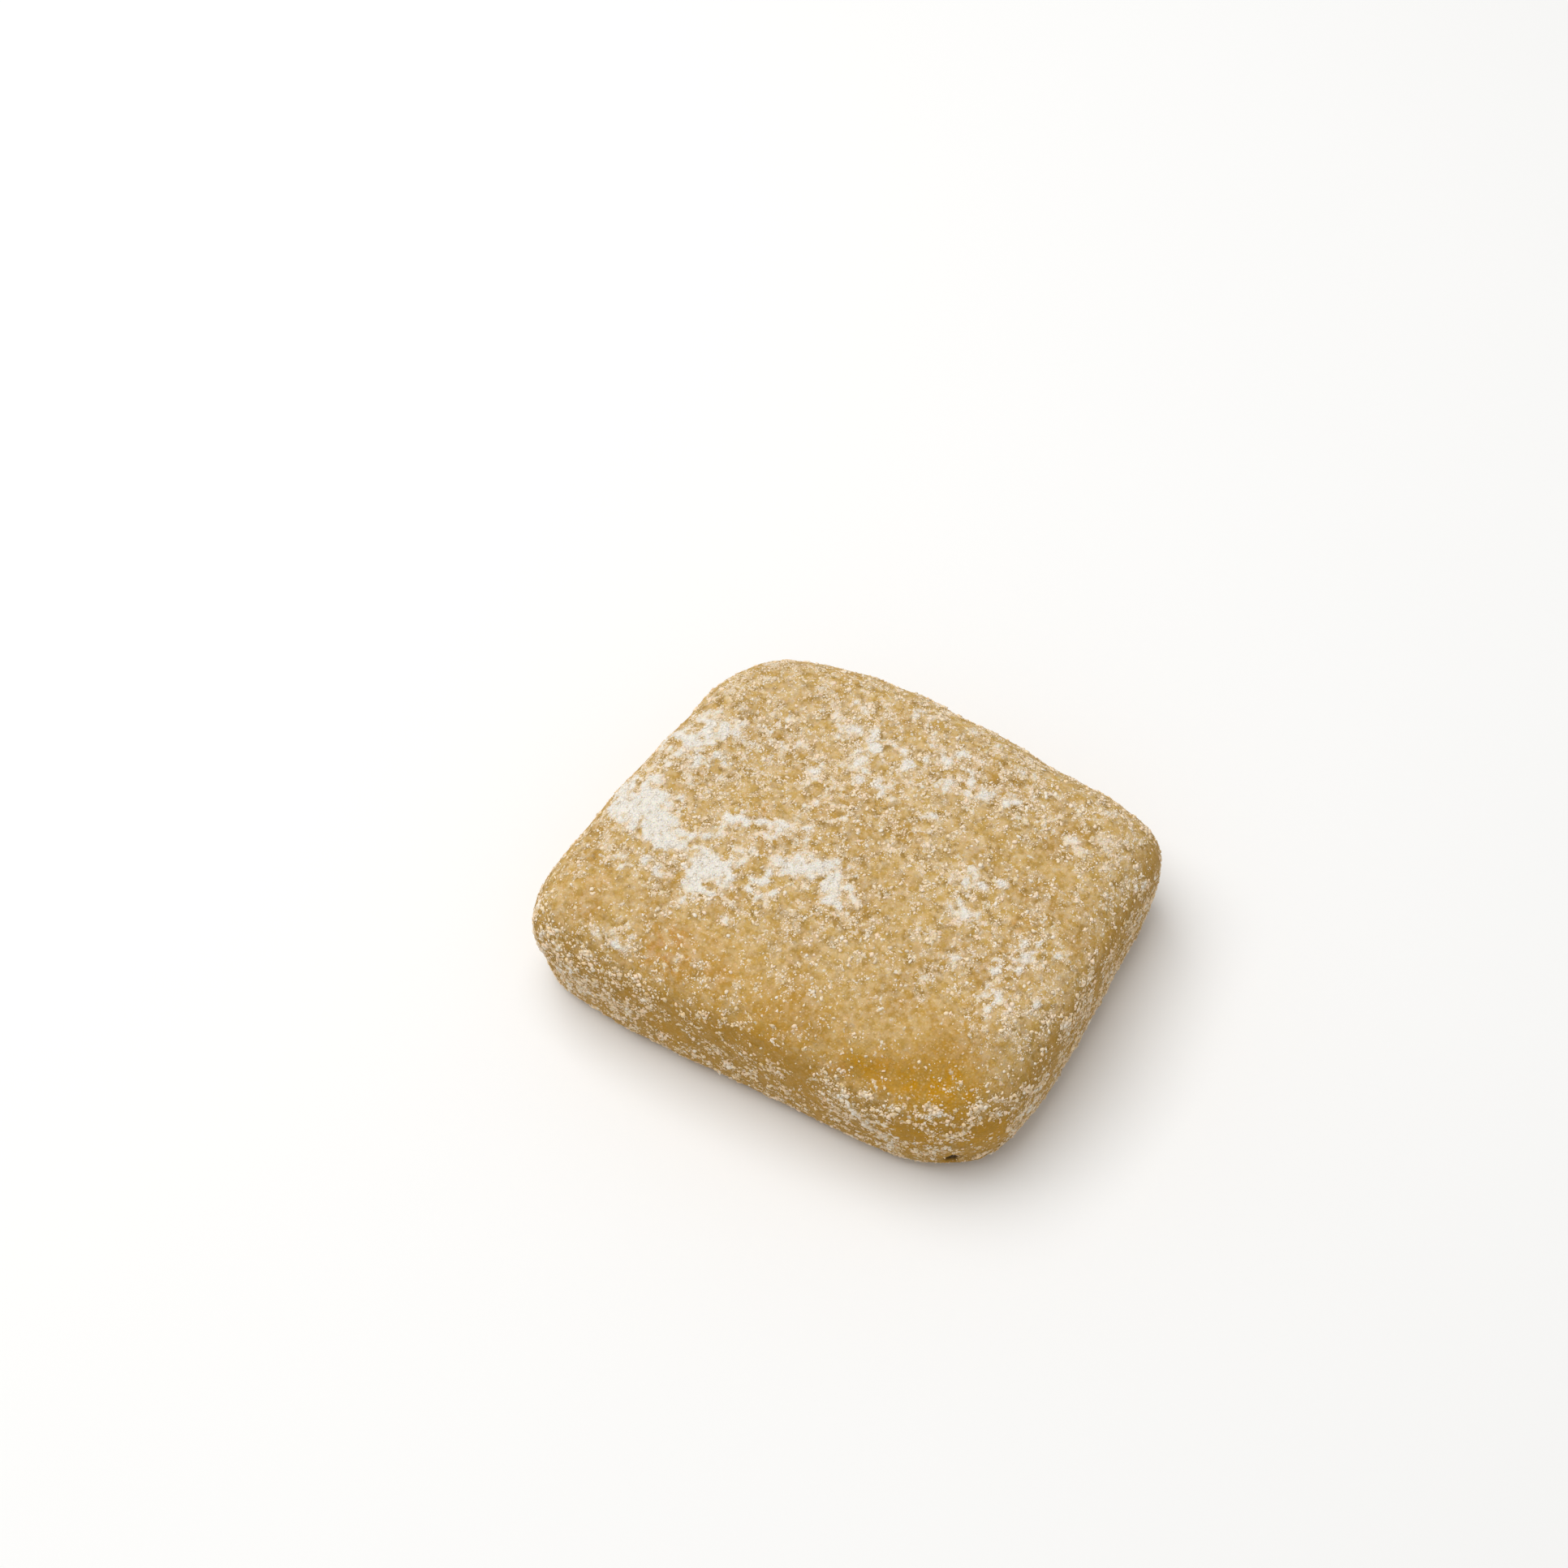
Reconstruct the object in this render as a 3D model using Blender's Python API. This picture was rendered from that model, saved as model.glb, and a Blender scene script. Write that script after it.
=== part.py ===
"""One piece of pani aluwa, a soft sweet of palm treacle and roasted rice flour.

The slab is cut with a knife into a slightly skewed four-sided piece and dusted with flour. It lies on its
flat underside. Its front cut runs along X and faces -Y, and the origin is at the bottom centre of its box.
"""

import math

import bmesh
import bpy
from mathutils import Vector, noise

MM = 0.001
NEARLY_ZERO = 1e-7

# The four knife cuts seen from above, anticlockwise. Each is a distance from the middle of the piece and the
# direction that the cut face looks in, in degrees anticlockwise from +X.
FRONT_CUT = (20.7 * MM, -90.0)
RIGHT_CUT = (25.0 * MM, -1.8)
BACK_CUT = (20.9 * MM, 86.5)
LEFT_CUT = (25.4 * MM, 170.9)

# Each corner between two cuts: how sharp it is from above, where a higher number is a sharper corner, and how
# much wider its top edge is rounded than the edge along the middle of a cut.
FRONT_RIGHT_CORNER = (4.6, 4.6 * MM)
BACK_RIGHT_CORNER = (8.5, 2.4 * MM)
BACK_LEFT_CORNER = (5.0, 2.0 * MM)
FRONT_LEFT_CORNER = (6.9, 2.6 * MM)

THICKNESS = 15.8 * MM
TOP_EDGE_RADIUS = 3.2 * MM
BASE_EDGE_RADIUS = 2.4 * MM
SIDE_BULGE = 0.9 * MM
BULGE_HEIGHT = 7.0 * MM
TOP_CROWN = 0.9 * MM

# Soft hollows pressed into the top by the knife and by handling: place, half length, half width, depth and
# the angle of the long way.
TOP_HOLLOWS = (
    (-13.0 * MM, 6.0 * MM, 9.0 * MM, 6.0 * MM, 0.45 * MM, 20.0),
    (8.0 * MM, 8.5 * MM, 8.0 * MM, 4.0 * MM, 0.40 * MM, -12.0),
    (12.0 * MM, -9.0 * MM, 7.0 * MM, 4.5 * MM, 0.30 * MM, 35.0),
    (-7.0 * MM, -11.0 * MM, 10.0 * MM, 3.5 * MM, 0.35 * MM, -6.0),
)

# Unevenness of the dough: the size of the swells and of the small lumps, and how far each stands out.
SWELL_SIZE = 17.0 * MM
SWELL_HEIGHT = 0.55 * MM
LUMP_SIZE = 5.5 * MM
LUMP_HEIGHT = 0.28 * MM
NOISE_PLACE = Vector((3.1, 7.4, 1.9))
FLAT_BASE_RISE = 3.0 * MM

# Cells of the surface mesh along the length, the width and the height.
CELLS_LONG = 32
CELLS_WIDE = 27
CELLS_HIGH = 9

DOUGH_COLOUR = (0.56, 0.34, 0.115, 1.0)
DOUGH_ROUGHNESS = 0.62


def remove_everything():
    """Empties the scene."""
    for old in list(bpy.data.objects):
        bpy.data.objects.remove(old)


def cut_corner(cut, next_cut):
    """The sharp corner where two neighbouring cuts would meet."""
    distance, angle = cut[0], math.radians(cut[1])
    next_distance, next_angle = next_cut[0], math.radians(next_cut[1])
    turn = math.sin(next_angle - angle)
    x = (distance * math.sin(next_angle) - next_distance * math.sin(angle)) / turn
    y = (next_distance * math.cos(angle) - distance * math.cos(next_angle)) / turn
    return Vector((x, y))


def sharp_corners():
    """Corners of the piece before rounding: front left, front right, back right and back left."""
    return (
        cut_corner(LEFT_CUT, FRONT_CUT),
        cut_corner(FRONT_CUT, RIGHT_CUT),
        cut_corner(RIGHT_CUT, BACK_CUT),
        cut_corner(BACK_CUT, LEFT_CUT),
    )


def rounding(angle):
    """The rounded outline's distance from the middle in a direction in radians, and the top edge's radius."""
    corners = (
        (FRONT_CUT, RIGHT_CUT, *FRONT_RIGHT_CORNER),
        (RIGHT_CUT, BACK_CUT, *BACK_RIGHT_CORNER),
        (BACK_CUT, LEFT_CUT, *BACK_LEFT_CORNER),
        (LEFT_CUT, FRONT_CUT, *FRONT_LEFT_CORNER),
    )
    for cut, next_cut, sharpness, extra_radius in corners:
        past_cut = (math.degrees(angle) - cut[1]) % 360.0
        between = (next_cut[1] - cut[1]) % 360.0
        if past_cut <= between:
            share = max(math.cos(math.radians(past_cut)), 0.0) / cut[0]
            next_share = max(math.cos(math.radians(between - past_cut)), 0.0) / next_cut[0]
            distance = (share**sharpness + next_share**sharpness) ** (-1.0 / sharpness)
            into_corner = math.sin(math.pi * past_cut / between)
            return distance, TOP_EDGE_RADIUS + extra_radius * into_corner**2
    raise ValueError("the cuts leave a direction with no corner")


def rounded_section(inset, height, top_radius):
    """Rounds the top and base edges of the section, for a point given as inset from the side and height."""
    radius = top_radius if height > THICKNESS / 2 else BASE_EDGE_RADIUS
    inner_inset = max(inset, radius)
    inner_height = min(max(height, radius), THICKNESS - radius)
    away = Vector((inset - inner_inset, height - inner_height))
    if away.length < NEARLY_ZERO:
        return inset, height
    away = away.normalized() * radius
    return inner_inset + away.x, inner_height + away.y


def slab_point(u, v, w, corners):
    """Carries a point of the cube's surface, each number from -1 to 1, to the smooth rounded slab."""
    ring = max(abs(u), abs(v))
    if ring < NEARLY_ZERO:
        return Vector((0.0, 0.0, THICKNESS if w > 0 else 0.0))
    along, across = (u / ring + 1) / 2, (v / ring + 1) / 2
    front = corners[0].lerp(corners[1], along)
    back = corners[3].lerp(corners[2], along)
    edge = front.lerp(back, across)
    angle = math.atan2(edge.y, edge.x)
    reach, top_radius = rounding(angle)
    inset, height = rounded_section(reach * (1 - ring), THICKNESS * (w + 1) / 2, top_radius)
    bulge = SIDE_BULGE * (1 - ((height - BULGE_HEIGHT) / (THICKNESS - BULGE_HEIGHT)) ** 2)
    distance = reach - inset - SIDE_BULGE + bulge * ring
    return Vector((math.cos(angle) * distance, math.sin(angle) * distance, height))


def hollow_depth(point):
    """How deep the pressed hollows are at a place on the top."""
    depth = 0.0
    for x, y, half_length, half_width, deepest, turned in TOP_HOLLOWS:
        angle = math.radians(turned)
        away = Vector((point.x - x, point.y - y))
        along = (away.x * math.cos(angle) + away.y * math.sin(angle)) / half_length
        across = (away.y * math.cos(angle) - away.x * math.sin(angle)) / half_width
        depth += deepest * math.exp(-(along**2 + across**2))
    return depth


def unevenness(point, normal):
    """How far the dough stands out from the smooth slab at a place, along its normal."""
    swell = noise.noise(point / SWELL_SIZE + NOISE_PLACE) * SWELL_HEIGHT
    lump = noise.noise(point / LUMP_SIZE - NOISE_PLACE) * LUMP_HEIGHT
    facing_up = max(normal.z, 0.0)
    from_middle = min(math.hypot(point.x / RIGHT_CUT[0], point.y / FRONT_CUT[0]), 1.0)
    crown = TOP_CROWN * (1 - from_middle**2) * facing_up
    settled = min(point.z / FLAT_BASE_RISE, 1.0)
    return (swell + lump) * settled + crown - hollow_depth(point) * facing_up


def dough_material():
    """The sweet's own colour: golden brown and slightly moist."""
    material = bpy.data.materials.new("dough")
    material.use_nodes = True
    shader = material.node_tree.nodes["Principled BSDF"]
    shader.inputs["Base Color"].default_value = DOUGH_COLOUR
    shader.inputs["Roughness"].default_value = DOUGH_ROUGHNESS
    shader.inputs["Metallic"].default_value = 0.0
    return material


def grid_cube():
    """A cube from -1 to 1 whose faces are split into the surface's cells."""
    mesh_data = bmesh.new()
    bmesh.ops.create_cube(mesh_data, size=2.0)
    for axis, cells in enumerate((CELLS_LONG, CELLS_WIDE, CELLS_HIGH)):
        along = [e for e in mesh_data.edges if abs(e.verts[0].co[axis] - e.verts[1].co[axis]) > NEARLY_ZERO]
        bmesh.ops.subdivide_edges(mesh_data, edges=along, cuts=cells - 1, use_grid_fill=True)
    return mesh_data


def merge_flat_base(mesh_data):
    """Makes the flat underside one face."""
    base = [f for f in mesh_data.faces if all(v.co.z < NEARLY_ZERO for v in f.verts)]
    bmesh.ops.dissolve_faces(mesh_data, faces=base, use_verts=False)


def centre_on_base(mesh_data):
    """Puts the origin at the middle of the piece's box, level with its underside."""
    for axis in (0, 1):
        low = min(v.co[axis] for v in mesh_data.verts)
        high = max(v.co[axis] for v in mesh_data.verts)
        for vert in mesh_data.verts:
            vert.co[axis] -= (low + high) / 2


def make_aluwa(collection):
    """Shapes the cube into the piece."""
    mesh_data = grid_cube()
    corners = sharp_corners()
    for vert in mesh_data.verts:
        vert.co = slab_point(*vert.co, corners)
    bmesh.ops.recalc_face_normals(mesh_data, faces=mesh_data.faces)
    mesh_data.normal_update()
    standing_out = [unevenness(v.co, v.normal) for v in mesh_data.verts]
    for vert, height in zip(mesh_data.verts, standing_out):
        if vert.co.z > NEARLY_ZERO:
            vert.co += vert.normal * height
    merge_flat_base(mesh_data)
    centre_on_base(mesh_data)

    mesh = bpy.data.meshes.new("aluwa")
    mesh_data.to_mesh(mesh)
    mesh_data.free()
    mesh.materials.append(dough_material())
    mesh.shade_smooth()
    piece = bpy.data.objects.new("aluwa", mesh)
    collection.objects.link(piece)
    return piece


def main():
    remove_everything()
    collection = bpy.data.collections.new("pani_aluwa")
    bpy.context.scene.collection.children.link(collection)
    make_aluwa(collection)


main()
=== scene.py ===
"""A piece of pani aluwa, the soft sweet of palm treacle and roasted rice flour, with its dusting of flour.

The dough is a fine surface over the sweet's fixed solid. The flour on it is made of loose grains in three
sizes, and the dough's finish carries the powder that is finer than those. Lengths are in metres, apart from
the tables and places that say millimetres.
"""

import math

import bpy
import numpy as np
from bpy.props import FloatProperty, FloatVectorProperty, IntProperty, PointerProperty
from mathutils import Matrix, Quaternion, Vector, noise


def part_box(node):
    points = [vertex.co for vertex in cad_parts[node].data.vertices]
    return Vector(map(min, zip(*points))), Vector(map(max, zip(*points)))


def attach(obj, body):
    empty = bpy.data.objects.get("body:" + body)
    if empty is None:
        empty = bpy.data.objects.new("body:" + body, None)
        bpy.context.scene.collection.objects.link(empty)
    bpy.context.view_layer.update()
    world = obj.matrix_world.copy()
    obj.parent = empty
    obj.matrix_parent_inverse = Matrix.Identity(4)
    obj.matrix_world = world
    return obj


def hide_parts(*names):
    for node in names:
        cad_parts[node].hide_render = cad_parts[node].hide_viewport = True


bl_info = {
    "name": "Pani Aluwa",
    "version": (1, 0, 0),
    "blender": (4, 5, 0),
    "location": "View3D > Sidebar > Aluwa",
    "description": "Makes a flour-dusted piece of pani aluwa on a pale floor",
    "category": "Object",
}

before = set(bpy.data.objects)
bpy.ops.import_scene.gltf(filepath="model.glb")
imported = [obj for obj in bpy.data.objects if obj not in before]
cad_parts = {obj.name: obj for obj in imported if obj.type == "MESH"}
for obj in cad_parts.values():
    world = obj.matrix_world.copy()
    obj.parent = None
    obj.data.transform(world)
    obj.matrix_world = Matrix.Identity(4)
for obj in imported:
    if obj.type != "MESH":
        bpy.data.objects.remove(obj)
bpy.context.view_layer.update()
SOLID = "aluwa"
SOLID_LOW, SOLID_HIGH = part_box(SOLID)

MM = 0.001
MERGE_DISTANCE = 0.001 * MM

# Where flour lies thick on the top, in millimetres: place, half length, half width, turn in degrees, amount.
TOP_PATCHES = (
    (-18.3, -5.1, 2.6, 2.1, -14, 1.1),
    (-16.6, -7.2, 1.6, 1.1, 0, 0.6),
    (-21.0, -5.6, 2.0, 1.0, -10, 0.55),
    (-24.2, -2.2, 1.6, 2.6, 0, 0.65),
    (-23.4, -8.0, 2.4, 1.2, 0, 0.2),
    (-13.6, -6.8, 1.5, 0.7, -10, 0.5),
    (-11.0, -7.9, 1.9, 1.4, -20, 0.85),
    (-11.2, -10.2, 0.9, 1.4, 0, 0.5),
    (-8.6, -7.0, 1.4, 0.7, 15, 0.4),
    (-5.0, -7.7, 1.5, 0.8, -10, 0.55),
    (-11.2, -2.1, 1.5, 0.9, 10, 0.55),
    (-9.2, -1.5, 1.2, 0.6, 20, 0.5),
    (-8.8, -5.0, 1.0, 0.8, 0, 0.4),
    (-6.2, -1.6, 1.3, 1.1, 0, 0.62),
    (-4.8, 0.5, 1.0, 0.6, 20, 0.45),
    (-2.4, -3.6, 2.3, 1.3, 10, 0.9),
    (-3.6, -5.2, 1.2, 0.8, 0, 0.5),
    (0.8, -3.9, 1.1, 1.0, 0, 0.62),
    (2.3, -5.8, 1.8, 0.9, -10, 0.45),
    (2.6, -2.8, 0.8, 0.5, 0, 0.35),
    (5.0, -3.2, 0.9, 0.6, 0, 0.3),
    (-18.4, 4.8, 2.8, 2.4, 25, 0.58),
    (-17.4, 0.6, 1.8, 1.4, 0, 0.28),
    (-18.6, -10.8, 0.9, 0.8, 0, 0.62),
    (-16.0, -10.2, 1.1, 0.7, 0, 0.45),
    (-6.0, -11.6, 0.9, 0.5, 0, 0.5),
    (-3.6, 10.9, 1.4, 0.9, -20, 0.5),
    (-1.8, 12.9, 0.8, 0.6, 0, 0.42),
    (0.6, 11.2, 1.0, 0.8, 0, 0.5),
    (2.4, 12.6, 0.7, 0.6, 0, 0.4),
    (4.2, 13.9, 1.0, 1.0, 0, 0.35),
    (6.4, 12.3, 0.9, 0.6, -20, 0.5),
    (8.0, 11.5, 1.8, 0.6, 0, 0.65),
    (12.0, 11.8, 1.0, 0.7, 0, 0.35),
    (4.0, 9.8, 1.4, 0.4, 25, 0.32),
    (-0.2, 7.3, 1.1, 0.9, 0, 0.6),
    (8.4, 8.0, 1.2, 0.6, 10, 0.3),
    (5.2, 6.3, 1.0, 0.6, 20, 0.3),
    (4.3, 3.2, 0.7, 0.7, 0, 0.45),
    (-2.8, 3.3, 0.6, 0.6, 0, 0.4),
    (-6.0, 6.4, 1.4, 0.9, 0, 0.24),
    (12.5, 2.4, 1.6, 0.9, 20, 0.5),
    (13.8, 3.2, 0.8, 0.7, 0, 0.5),
    (11.2, 0.0, 0.9, 1.4, 0, 0.42),
    (13.5, -1.3, 1.4, 0.6, 0, 0.5),
    (21.0, -1.1, 1.6, 0.6, 5, 0.65),
    (19.2, -1.9, 1.2, 0.5, 0, 0.35),
    (18.2, -4.6, 1.1, 0.8, 0, 0.65),
    (19.4, -3.4, 0.9, 0.6, 30, 0.5),
    (14.0, -5.2, 0.8, 0.6, -30, 0.5),
    (15.0, -6.4, 0.6, 0.5, 0, 0.35),
    (18.8, -8.2, 1.6, 1.2, -20, 0.42),
    (19.4, -9.8, 1.2, 0.8, -10, 0.5),
    (20.8, -7.6, 1.6, 1.0, 0, 0.36),
    (22.8, -6.2, 1.6, 1.2, 0, 0.3),
    (20.5, 11.0, 3.2, 1.4, 10, 0.08),
    (12.2, -8.0, 1.0, 0.8, 0, 0.3),
    (8.4, -7.8, 0.6, 0.5, 0, 0.4),
    (5.2, -7.0, 0.5, 0.9, 0, 0.35),
    (4.4, -10.0, 1.1, 0.5, 15, 0.65),
    (0.6, -10.6, 0.5, 0.5, 0, 0.5),
    (6.7, -12.3, 0.6, 0.5, 0, 0.55),
    (16.0, -12.1, 0.8, 0.5, -20, 0.6),
    (7.2, -16.0, 0.8, 0.6, 0, 0.6),
    (1.4, -14.9, 0.6, 0.6, 0, 0.55),
    (-14.3, -18.0, 1.8, 0.8, 10, 0.4),
    (-7.5, -17.2, 1.2, 0.7, 0, 0.3),
    (4.0, 15.5, 10.0, 3.4, -4, 0.08),
    (-12.0, 8.5, 8.0, 4.0, 20, 0.12),
    (-21.5, -13.5, 4.5, 3.0, 0, 0.06),
    (-3.4, 8.4, 2.0, 1.4, 0, 0.3),
    (-22.6, 3.4, 1.8, 1.8, 0, 0.3),
    (-21.6, -3.6, 1.4, 1.0, 0, 0.35),
    (22.8, -14.8, 1.8, 1.6, 0, 0.16),
    (-16.0, -17.0, 2.4, 1.4, 0, 0.14),
)

# Where the top shows bare dough, in millimetres: place, half length, half width, turn in degrees, amount.
BARE_SPOTS = (
    (-22.6, -8.7, 2.8, 1.1, -10, 0.5),
    (-19.0, -14.8, 5.5, 2.2, 5, 0.78),
    (-6.8, -14.4, 4.6, 2.0, 0, 0.75),
    (16.0, 7.2, 6.5, 2.0, -10, 0.75),
    (8.0, -7.6, 2.8, 1.4, 0, 0.5),
    (17.0, -12.8, 3.6, 2.0, -8, 0.8),
    (12.0, -15.2, 5.0, 1.8, -4, 0.8),
    (3.0, -17.6, 5.0, 1.6, 0, 0.6),
    (-7.5, 0.6, 3.4, 0.7, 0, 0.4),
    (14.5, -17.6, 4.4, 0.9, 6, 0.9),
    (13.0, -14.2, 6.0, 2.6, -5, 0.75),
    (-24.8, -12.0, 1.5, 3.0, 0, 0.2),
    (-15.6, -3.3, 2.0, 1.4, 20, 0.75),
    (6.8, -4.4, 2.0, 1.6, 0, 0.4),
    (3.0, -12.0, 2.0, 2.0, 0, 0.4),
    (15.0, -8.2, 2.0, 1.8, 0, 0.5),
    (23.4, -11.5, 1.6, 2.2, 0, 0.4),
    (-5.0, -16.5, 2.2, 1.6, 0, 0.4),
    (-13.0, 0.6, 1.6, 0.9, 0, 0.5),
    (22.4, 2.6, 1.8, 3.4, 0, 0.4),
    (6.0, -1.4, 4.5, 2.6, 0, 0.4),
)

# Flour and bare dough on the cut sides, in millimetres: place, radius and amount, below zero where bare.
SIDE_PATCHES = (
    (8.8, -19.5, 13.8, 1.1, 0.75),
    (9.8, -20.6, 11.7, 1.2, 0.65),
    (12.1, -19.9, 12.4, 1.1, 0.7),
    (14.5, -18.9, 13.0, 1.0, 0.6),
    (17.5, -18.8, 12.1, 1.3, 0.75),
    (12.7, -20.9, 8.4, 1.3, 0.55),
    (14.6, -20.6, 5.6, 1.3, 0.5),
    (22.0, -16.2, 12.1, 1.2, 0.6),
    (23.8, -14.4, 11.4, 1.4, 0.5),
    (25.0, -12.7, 7.6, 2.4, 0.5),
    (3.2, -20.6, 9.6, 1.0, 0.5),
    (-2.0, -20.6, 6.0, 2.4, 0.25),
    (-13.0, -20.2, 12.6, 1.6, 0.42),
    (-20.0, -20.0, 9.0, 5.5, 0.46),
    (-24.6, -15.0, 8.0, 3.4, 0.3),
    (-12.0, -20.6, 7.0, 3.4, 0.25),
    (-8.8, -20.8, 7.8, 1.8, -0.35),
    (17.0, -20.0, 9.0, 7.0, 0.16),
    (16.8, -20.1, 9.2, 1.2, -0.6),
    (23.2, -16.7, 8.2, 1.6, -0.7),
    (12.0, -18.6, 14.4, 1.3, -0.8),
    (15.4, -17.8, 14.4, 1.3, -0.8),
    (18.9, -17.1, 13.8, 1.1, -0.75),
    (1.0, -20.4, 12.0, 3.4, -0.1),
    (20.6, -18.8, 3.2, 0.9, -0.8),
    (25.2, -5.0, 12.0, 3.4, 0.22),
    (25.2, 1.0, 8.0, 4.0, 0.2),
    (25.4, 11.0, 13.0, 2.8, 0.36),
    (25.0, 12.0, 7.0, 4.0, 0.2),
    (-6.0, 20.6, 11.0, 5.0, 0.2),
    (12.0, 20.0, 12.5, 3.0, 0.3),
    (-17.0, 19.0, 9.0, 3.0, 0.26),
    (-25.6, 3.0, 12.0, 3.0, 0.3),
    (-25.0, -9.0, 8.0, 3.6, 0.22),
)

# Where the dough is clear and dark with treacle, in millimetres: place, radius and amount.
TREACLE_SPOTS = (
    (10.5, -18.9, 14.5, 1.7, 0.9),
    (13.5, -18.6, 14.6, 1.9, 1.0),
    (17.0, -18.0, 14.6, 2.0, 1.0),
    (20.0, -16.6, 14.2, 2.2, 0.8),
    (23.2, -16.7, 8.2, 3.0, 0.8),
    (17.0, -20.1, 8.6, 3.0, 0.7),
    (19.5, -18.8, 9.5, 5.5, 0.5),
    (14.7, -20.7, 8.2, 1.2, 0.6),
    (6.0, -20.8, 9.0, 3.4, 0.5),
    (-8.8, -20.8, 8.0, 2.6, 0.7),
    (2.0, -20.0, 12.5, 3.4, 0.5),
    (-3.5, -20.0, 13.0, 2.0, 0.4),
    (25.4, 4.0, 12.0, 3.0, 0.4),
    (25.6, -16.0, 8.0, 2.5, 0.5),
    (17.0, -14.5, 15.8, 5.0, 0.4),
    (-12.0, -18.0, 14.2, 3.4, 0.3),
    (-5.0, -17.4, 15.0, 3.8, 0.4),
    (1.5, -17.4, 15.2, 3.8, 0.4),
    (8.0, -17.6, 15.2, 3.4, 0.35),
    (-12.0, 20.8, 8.0, 4.0, 0.6),
    (5.0, 20.6, 10.0, 3.6, 0.5),
    (-25.8, -2.0, 8.0, 3.4, 0.5),
    (-25.0, 11.0, 9.0, 2.6, 0.5),
)

# Warm, reddish spots in the dough, in millimetres: place, radius and amount.
BLUSH_SPOTS = (
    (-10.3, -16.6, 15.2, 2.0, 0.8),
    (-4.6, -17.2, 14.6, 1.2, 0.5),
    (-20.5, -14.5, 15.3, 3.6, 0.2),
    (-9.5, 0.2, 16.2, 0.8, 0.6),
    (-6.3, -14.2, 15.8, 0.7, 0.5),
    (17.8, 0.1, 16.2, 0.9, 0.5),
    (24.4, -4.4, 12.8, 1.4, 0.5),
    (9.2, -19.4, 13.2, 1.1, 0.5),
    (13.2, -18.4, 14.8, 1.2, 0.5),
    (-14.0, 19.8, 12.0, 1.6, 0.5),
    (8.0, 20.4, 9.0, 1.4, 0.4),
    (-25.4, 7.0, 10.0, 1.6, 0.5),
)

# How thick flour lies away from the patches, on the top and on the cut sides, and how much more at the back.
TOP_FLOUR = 0.215
SIDE_FLOUR = 0.145
MORE_AT_BACK = 0.06
# How much that varies in broad clouds and in small flecks, and the sizes of both.
TOP_CLOUDS = 0.12
SIDE_CLOUDS = 0.13
CLOUD_SIZES = (6.5 * MM, 2.8 * MM)
FLECKS = 0.55
FLECK_SIZES = (1.5 * MM, 0.75 * MM)
# How far the edge of a patch wanders, and the sizes of its wide and narrow bays.
RAGGED_REACH = 0.8 * MM
BAY_SIZES = (2.4 * MM, 0.9 * MM)
# How strongly thin flour breaks up into lace, and the size of its holes.
LACE = 1.9
LACE_SIZE = 0.9 * MM
# The amounts of a patch's middle and of the thin rim round it, and how far the rim spreads.
PATCH_MIDDLE = 0.8
PATCH_RIM = 0.22
RIM_SPREAD = 4.5
# The range of the normal's height over which a side turns into the top, for flour and for most grains.
TURN_TO_TOP = (0.35, 0.85)
GRAINS_TURN_TO_TOP = (0.45, 0.75)
# Below this height of the normal no loose grain is laid, as the sweet lies on its underside.
UNDERSIDE = -0.9

# Each crumb's width varies round the usual one by this spread and within these limits. It is stretched along
# each axis by a share between two limits, and leans away from the surface.
WIDTH_SPREAD = 0.38
WIDTH_LIMITS = (0.45, 1.7)
STRETCH_LIMITS = (0.5, 1.3)
LEAN = 0.25
# How many places are drawn for each crumb that is laid, and the size of the clumps that grains gather in.
PLACES_PER_CRUMB = 8
CLUMP_SIZE = 1.1 * MM
# How much each kind of crumb departs from its plain form, and its height against its width.
CRUMB_ROUGHNESS = {"powder": 0.16, "grain": 0.2, "lump": 0.12}
CRUMB_HEIGHT = {"powder": 0.7, "grain": 0.55, "lump": 0.6}
# How many different crumbs of each kind there are.
SHAPES = 5
# Painted shade: the colour that darkens flour in the pits between its grains, standing in for their shadow.
SHADED_FLOUR = (0.80, 0.78, 0.72, 1.0)

# The crease under the top edge near the front corner: its ends in millimetres, and its half width.
CREASE_START = (9.8, 13.6)
CREASE_END = (18.2, 13.9)
CREASE_HALF_WIDTH = 0.8 * MM
# The nick in the side below the crease, in millimetres: its place, the heights of its ends and how softly
# each ends, its half width and depth, how far into the sweet it is looked for, how far it wanders sideways
# and up and down, and the way it faces in degrees. The sizes of its bends are in metres.
NICK = (20.7, -18.6)
NICK_ENDS = (1.7, 4.6)
NICK_SOFT_ENDS = (1.0, 1.6)
NICK_HALF_WIDTH = 0.75
NICK_DEPTH = 1.0
NICK_REACH = 3.0
NICK_WANDER = (0.7, 0.6)
NICK_WANDER_SIZES = (1.1 * MM, 0.9 * MM)
NICK_FACES = -59.0
# A dimple just under the left end of the front side, in millimetres: its place, radius and depth.
DIMPLE = (-23.4, -19.5, 4.8)
DIMPLE_RADIUS = 1.8
DIMPLE_DEPTH = 0.6
# The curved rim of a shallow dent in the top: middle, radius and half width of its arc in millimetres, and
# the directions of its ends and how softly they end, in degrees.
DENT_MIDDLE = (8.8, 1.4)
DENT_RADIUS = 10.0
DENT_HALF_WIDTH = 0.45
DENT_ENDS = (58.0, 122.0)
DENT_SOFT_END = 8.0
# Sizes of the dough's ripples, crumb and small pits, and of the humps in thick flour.
RIPPLE_SIZE = 3.2 * MM
CRUMB_SIZE = 0.9 * MM
PIT_SIZE = 1.4 * MM
HUMP_SIZE = 0.6 * MM
# How far in or out of the surface a warm spot's edge wanders, and the size of its bays.
BLUSH_WANDER = 0.8 * MM
BLUSH_BAY_SIZE = 1.2 * MM

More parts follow.
